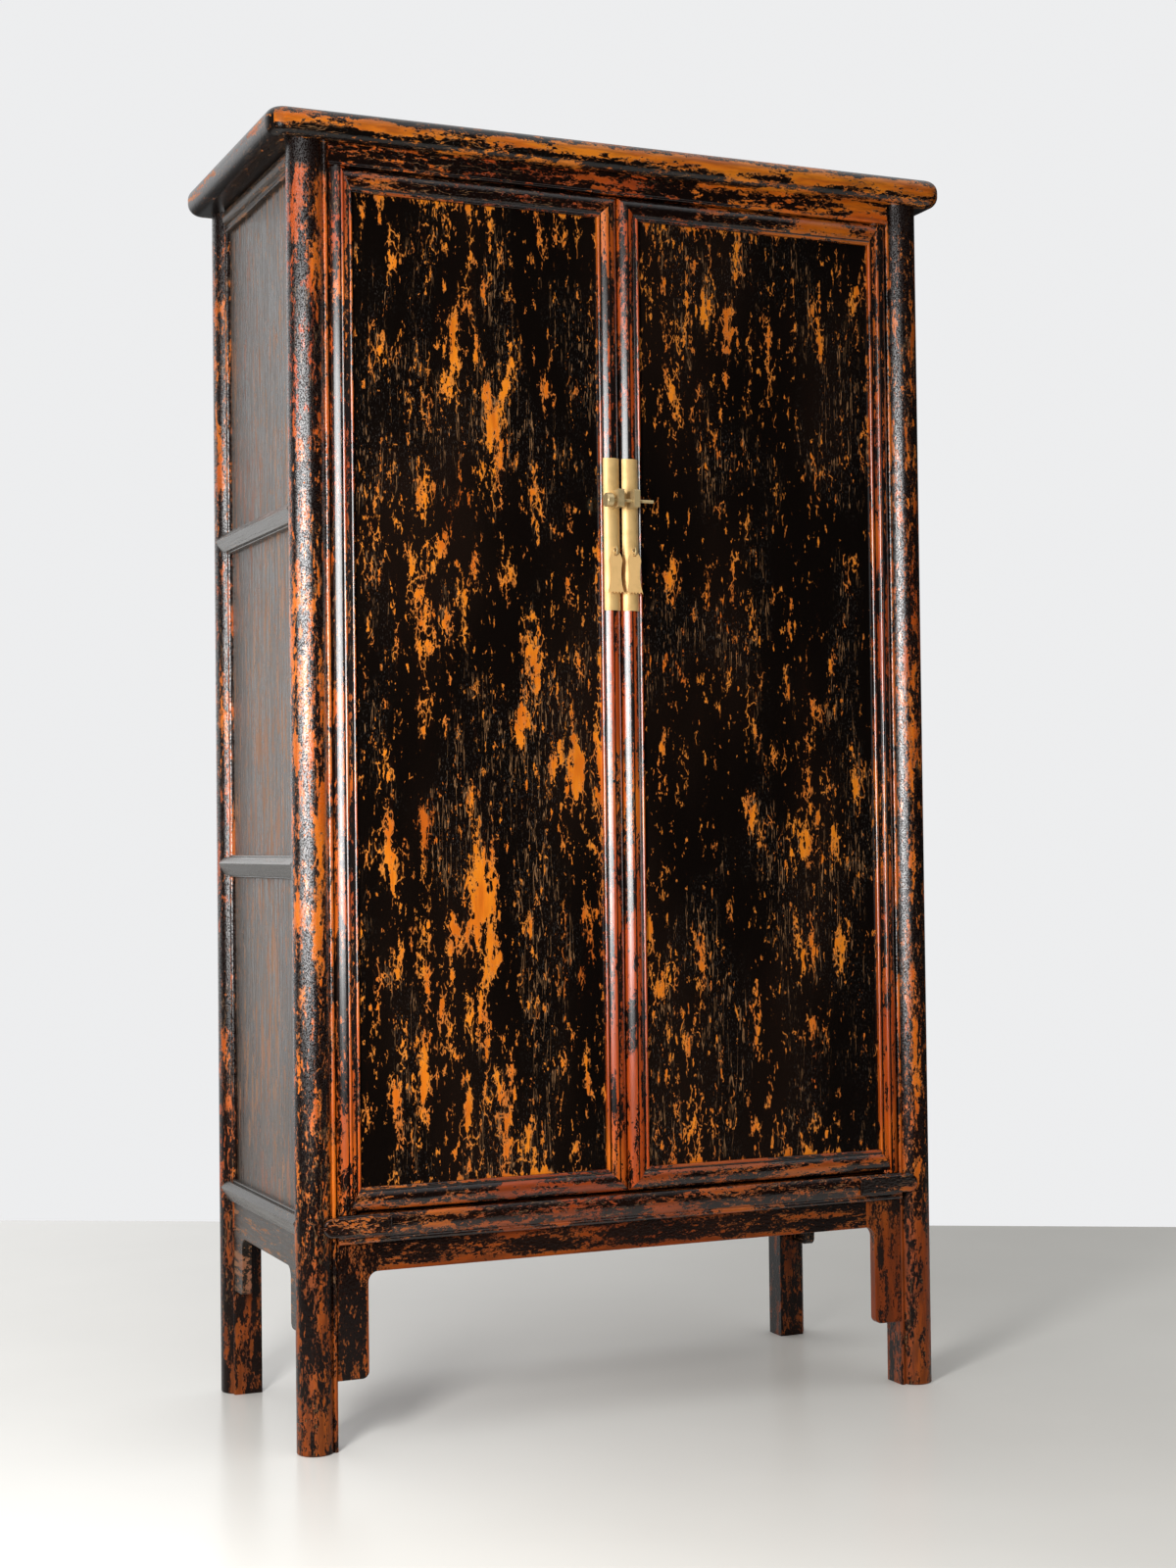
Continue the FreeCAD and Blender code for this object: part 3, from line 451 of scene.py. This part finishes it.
# Top board: brighter ground, worn in a band round its edge. The band is so far above the lower face.
boardLook = {
    **railLook, "edge": 0.512, "stretch": 6.0, "redden": -0.02, "legBrown": 0.0, "shine": 0.4, "tones": {},
    "bandHeight": 0.022, "bandWidth": 0.022, "bandWear": 0.11, "overallLess": 0.03,
}


# Wear in the band, less a little overall.
def boardWear(point, x, y, z):
    band = ridge(z, place["boardLow"] + boardLook["bandHeight"], boardLook["bandWidth"])
    return boardLook["bandWear"] * band - boardLook["overallLess"]


dress(lacquer("boardLacquer", boardLook, boardWear), "top_frame_front", "top_frame_back")

# Aprons front and back, and the front spandrels: darker, finely worn, with rubbed inner edges.
apronLook = {
    **railLook, "edge": 0.550, "redden": 0.10, "legBrown": 0.3, "grit": 0.34, "gritScale": 360.0,
    "drift": 0.16, "cracks": 0.0, "dots": 0.2, "shine": 0.15,
    "tones": {**postLook["tones"], "orange": (0.23, 0.041, 0.004), "ochre": (0.28, 0.058, 0.005),
              "red": (0.18, 0.027, 0.003)},
    "rubbed": 0.10, "lowerWidth": 0.012, "innerWidth": 0.008, "cornerRadius": 0.014,
    "cornerEnd": (-0.0025, 0.0075), "spandrelTop": (0.22, 0.25),
}


# Rubbed bare along the apron's lower edge between the corners, and along the spandrels' inner edges below.
def apronWear(point, x, y, z):
    look = apronLook
    bottom, end = place["apronLow"], place["apronEnd"]
    inner = end + look["cornerRadius"]
    middle = 1 - step(abs(x) - end, *look["cornerEnd"])
    lowerEdge = (1 - step(z, bottom, bottom + look["lowerWidth"])) * middle
    innerEdge = 1 - step(abs(x), inner, inner + look["innerWidth"])
    return look["rubbed"] * lowerEdge.most(innerEdge * (1 - step(z, *look["spandrelTop"])))


dress(lacquer("apronLacquer", apronLook, apronWear), "apron_front", "apron_back")
dress(lacquer("spandrelLacquer", {**apronLook, "grain": "z", "edge": 0.530}, apronWear),
      *each("spandrel_front_%s", hands))

# Sides: the coat is whole, grey and dull, with a few worn streaks.
sideLook = {
    **lacquerLook, "edge": 0.572, "patchScale": 90.0, "stretch": 9.0, "torn": 0.6,
    "flake": 0.3, "flakeScale": 300.0, "flakeStretch": 3.0, "bitsLess": 0.05, "drift": 0.25,
    "grit": 0.20, "gritScale": 420.0, "net": 0.0, "netScale": 110.0, "cracks": 0.45, "crackStretch": 9.0,
    "dots": 0.2, "clusterScale": 7.0, "redden": 0.05, "rim": 0.2, "stain": 0.1, "thin": 0.0, "streaks": 0.6,
    "gloss": 0.32, "shine": 0.5, "relief": 1.0, "grainScale": 260.0, "grainStretch": 16.0,
    "tones": {"black": (0.018, 0.014, 0.011), "brownBlack": (0.098, 0.068, 0.049),
              "orange": (0.24, 0.10, 0.045), "ochre": (0.26, 0.12, 0.05), "red": (0.22, 0.085, 0.045)},
}
# Side rails: painted sheen, a grey coat standing in for the pale room mirrored in their black lacquer.
sideRailSheenLook = {
    **sideLook, "grain": "y", "edge": 0.70, "streaks": 0.25, "gloss": 0.24, "shine": 0.8, "relief": 0.1,
    "tones": {**sideLook["tones"], "black": (0.085, 0.079, 0.071), "brownBlack": (0.100, 0.091, 0.080)},
}
# Lower side rails: painted shade, a darker copy of the side rails' coat.
sideLowRailShadeLook = {
    **sideRailSheenLook, "shine": 0.2,
    "tones": {**sideLook["tones"], "black": (0.040, 0.036, 0.032), "brownBlack": (0.062, 0.054, 0.046)},
}
# Side friezes and aprons: painted shade, the coat black below the apron's top.
sideTrimLook = {**sideLook, "grain": "y", "streaks": 0.3, "lowPaintedShade": 0.85, "shine": 0.2}
sideTopLook = {**boardLook, "grain": "y", "edge": 0.63, "gloss": 0.3}
dress(lacquer("sidePanelLacquer", sideLook), *each("side_panel_%s_%s", hands, ("lower", "middle", "upper")))
dress(lacquer("sideRailPaintedSheen", sideRailSheenLook), *each("side_rail_%s_%s", hands, ("middle", "upper")))
dress(lacquer("sideLowRailPaintedShade", sideLowRailShadeLook), *each("side_rail_%s_lower", hands))
dress(lacquer("sideTrimLacquer", sideTrimLook), *each("%s_%s", ("frieze", "apron"), hands))
dress(lacquer("sideTopLacquer", sideTopLook, boardWear), "top_panel", *each("top_frame_%s", hands))
print("lacquer on")

# Bare wood inside. Figure and pores are factors on each axis for the noise.
innerWood = {
    "light": (0.23, 0.120, 0.060), "dark": (0.10, 0.048, 0.024), "rough": 0.62,
    "figure": (1.5, 36.0, 36.0), "figureScale": 2.0, "figureCut": (0.35, 0.65),
    "pores": (20.0, 500.0, 500.0), "poreShare": 0.2, "poreRough": 0.2,
    "poreDepth": 0.0004, "poreStrength": 0.4,
}


# Dark to light by long figure along x, with a share of fine pores, which also roughen the surface.
def woodFinish(name, look):
    material, shader, point = newFinish(name)[:3]
    figure = noise(scaled(point, look["figure"]), look["figureScale"], detail=6.0, rough=0.64, twist=0.5)
    pores = noise(scaled(point, look["pores"]), scale=1.0)
    tone = step(figure, *look["figureCut"]) * (1 - look["poreShare"]) + look["poreShare"] * pores
    feed(shader, "Base Color", blendColour(tone, look["dark"], look["light"]))
    feed(shader, "Roughness", look["rough"] + look["poreRough"] * (pores - 0.5))
    feedBump(shader, pores, look["poreDepth"], look["poreStrength"])
    return material


dress(woodFinish("innerWood", innerWood), "cabinet_floor",
      *each("%s_%s", ("shelf", "back_panel"), ("lower", "upper")))

# Brass: satin, brushed upright, with faint darker patina.
brassLook = {
    "clean": (0.76, 0.50, 0.20), "dull": (0.58, 0.37, 0.14), "metal": 0.35, "rough": 0.46,
    "patinaScale": 45.0, "patinaCut": (0.48, 0.72), "patinaShare": 0.7, "patinaRough": 0.15,
    "brush": (900.0, 900.0, 60.0), "brushRough": 0.20, "brushDepth": 0.0002, "brushStrength": 0.5,
}
pullLook = {
    **brassLook, "clean": (0.80, 0.50, 0.20), "dull": (0.66, 0.41, 0.155), "metal": 0.25, "rough": 0.50,
}
# Lock pin and eyes: the same brass painted darker, a painted shade for their shaded sides and the shadows
# among them.
lockShadedLook = {
    **brassLook, "clean": (0.62, 0.47, 0.24), "dull": (0.34, 0.25, 0.12), "metal": 0.55, "rough": 0.36,
}


# Clean to dull where the patina noise is high. Brush marks, longer along z, roughen and bump the surface.
def brassFinish(name, look):
    material, shader, point = newFinish(name)[:3]
    patina = noise(point, look["patinaScale"], detail=4.0, rough=0.6)
    brushed = noise(scaled(point, look["brush"]), scale=1.0)
    dull = step(patina, *look["patinaCut"]) * look["patinaShare"]
    feed(shader, "Base Color", blendColour(dull, look["clean"], look["dull"]))
    rough = look["rough"] + look["brushRough"] * (brushed - 0.5)
    feed(shader, "Roughness", rough + look["patinaRough"] * (patina - 0.5))
    feedBump(shader, brushed, look["brushDepth"], look["brushStrength"])
    shader.inputs["Metallic"].default_value = look["metal"]
    return material


dress(brassFinish("plateBrass", brassLook), *each("%s_door_lock_plate", hands))
dress(brassFinish("pullBrass", pullLook), *each("%s_door_drop_pull", hands))
dress(brassFinish("lockShadedBrass", lockShadedLook), "lock_pin", *each("%s_door_%s_eye", hands, ("lock", "ring")))
print("wood and brass on")

# Camera where the photograph was taken from: metres and radians, lens and sensor in millimetres.
view = {
    "place": (-1.37368, -3.23213, 0.81558), "yaw": 0.40914, "pitch": 0.02323, "roll": -0.01182,
    "lens": 53.825, "sensor": 36,
}
onward = Vector((math.sin(view["yaw"]), math.cos(view["yaw"]), 0))
aside = Vector((math.cos(view["yaw"]), -math.sin(view["yaw"]), 0))
ahead = onward * math.cos(view["pitch"]) + Vector((0, 0, math.sin(view["pitch"])))
upright = aside.cross(ahead)
cameraX = aside * math.cos(view["roll"]) + upright * math.sin(view["roll"])
cameraY = upright * math.cos(view["roll"]) - aside * math.sin(view["roll"])
camera = bpy.data.cameras.new("camera")
camera.lens = view["lens"]
camera.sensor_width = view["sensor"]
turned = Matrix((cameraX, cameraY, -ahead)).transposed().to_4x4()
turned.translation = view["place"]
cameraObject = bpy.data.objects.new("camera", camera)
cameraObject.matrix_world = turned
bpy.context.collection.objects.link(cameraObject)
bpy.context.scene.camera = cameraObject

# Floor: a pale platform, its far edge as in the picture. Distances from the camera in metres.
floorLook = {
    "behind": 4.0, "near": 2.3, "farLeft": 5.24, "farRight": 4.73, "half": 2.4,
    "colour": (0.72, 0.704, 0.662), "mottle": 0.04, "mottleScale": 3.0, "rough": 0.24,
}


# Mottled floor: the colour a little darker to a little lighter by noise.
def floorFinish(name, look):
    material, shader, point = newFinish(name)[:3]
    cloud = noise(point, look["mottleScale"], detail=3.0)
    darker = [part * (1 - look["mottle"]) for part in look["colour"]]
    lighter = [part * (1 + look["mottle"]) for part in look["colour"]]
    feed(shader, "Base Color", blendColour(cloud, darker, lighter))
    shader.inputs["Roughness"].default_value = look["rough"]
    return material


# A floor point so far ahead of the camera and so far to its right.
def floorPoint(forward, right):
    away = onward * forward + aside * right
    return (view["place"][0] + away.x, view["place"][1] + away.y, 0)


# A flat four-sided sheet of floor between four points.
def floorSheet(name, material, corners):
    mesh = bpy.data.meshes.new(name)
    mesh.from_pydata(corners, [], [(0, 1, 2, 3)])
    mesh.materials.append(material)
    sheet = bpy.data.objects.new(name, mesh)
    bpy.context.collection.objects.link(sheet)
    return sheet


floorPale = floorFinish("floorPale", floorLook)
half = floorLook["half"]
nearLeft, nearRight = floorPoint(floorLook["near"], -half), floorPoint(floorLook["near"], half)
farRight, farLeft = floorPoint(floorLook["farRight"], half), floorPoint(floorLook["farLeft"], -half)
floor = floorSheet("floor", floorPale, [nearLeft, nearRight, farRight, farLeft])
# The floor goes on behind the camera, but throws no light onto the cabinet's front.
backLeft, backRight = floorPoint(-floorLook["behind"], -half), floorPoint(-floorLook["behind"], half)
floorFront = floorSheet("floorFront", floorPale, [backLeft, backRight, nearRight, nearLeft])
floorFront.visible_diffuse = False
floorFront.visible_glossy = False


# A rectangular lamp that faces its target, unseen by the camera: sizes in metres, power in watts.
def areaLight(name, spot, target, width, height, power):
    lamp = bpy.data.lights.new(name, "AREA")
    lamp.shape = "RECTANGLE"
    lamp.size, lamp.size_y = width, height
    lamp.energy = power
    lampObject = bpy.data.objects.new(name, lamp)
    lampObject.location = spot
    lampObject.rotation_euler = (Vector(target) - Vector(spot)).to_track_quat("-Z", "Y").to_euler()
    lampObject.visible_camera = False
    bpy.context.collection.objects.link(lampObject)
    return lampObject


# The lamp reaches only the pieces whose names pass the test.
def reachOnly(lamp, chosen):
    pieces = bpy.data.collections.new(lamp.name)
    for name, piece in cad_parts.items():
        if chosen(name):
            pieces.objects.link(piece)
    lamp.light_linking.receiver_collection = pieces


# The key light and its glint are one lamp in two: flat panels take no mirror image of it.
keyLight = {
    "spot": (-1.50, -1.60, 1.15), "target": (0, -0.2, 1.0), "width": 0.40, "height": 1.0, "power": 52,
}
key = areaLight("keyLight", **keyLight)
key.visible_glossy = False
glint = areaLight("glintLight", **keyLight)
glint.visible_diffuse = False
reachOnly(glint, lambda name: "panel" not in name)
# The broad bands of sheen on the posts and stiles.
sheenLight = {
    "spot": (-1.60, -1.52, 1.22), "target": (-0.49, -0.22, 1.12), "width": 3.00, "height": 1.35, "power": 122,
}
sheen = areaLight("sheenLight", **sheenLight)
sheen.visible_diffuse = False
reachOnly(sheen, lambda name: name.startswith("post_") or name.endswith("_stile"))

# Room light: pale overhead and behind on the left, dark elsewhere. Ranges are cosines of the direction.
room = {
    "colour": (0.985, 0.99, 1.0, 1), "base": 0.02, "seen": 0.86,
    "overhead": 1.2, "overheadFrom": (0.35, 0.85),
    "behindLeft": 1.3, "behindWay": (-0.36, 0.93, 0), "behindFrom": (0.55, 0.95), "behindRise": (-0.3, 0.0),
}


# Strength is the base, plus overhead by height, plus behind left by direction. The camera sees an even wall.
def roomLight(look):
    world = bpy.data.worlds.new("room")
    world.use_nodes = True
    way = Wire(world.node_tree).node("TexCoord", output="Generated")

    def facing(axis):
        return way.node("VectorMath", {"operation": "DOT_PRODUCT"}, {0: way, 1: axis}, "Value")

    height = facing((0, 0, 1))
    behind = step(facing(look["behindWay"]), *look["behindFrom"]) * step(height, *look["behindRise"])
    overhead = step(height, *look["overheadFrom"])
    strength = look["base"] + look["overhead"] * overhead + look["behindLeft"] * behind
    seen = way.node("LightPath", output="Is Camera Ray")
    back = world.node_tree.nodes["Background"]
    back.inputs["Color"].default_value = look["colour"]
    feed(back, "Strength", strength * (1 - seen) + look["seen"] * seen)
    return world


bpy.context.scene.world = roomLight(room)
bpy.context.scene.view_settings.view_transform = "Standard"
print("camera, floor and lights set")
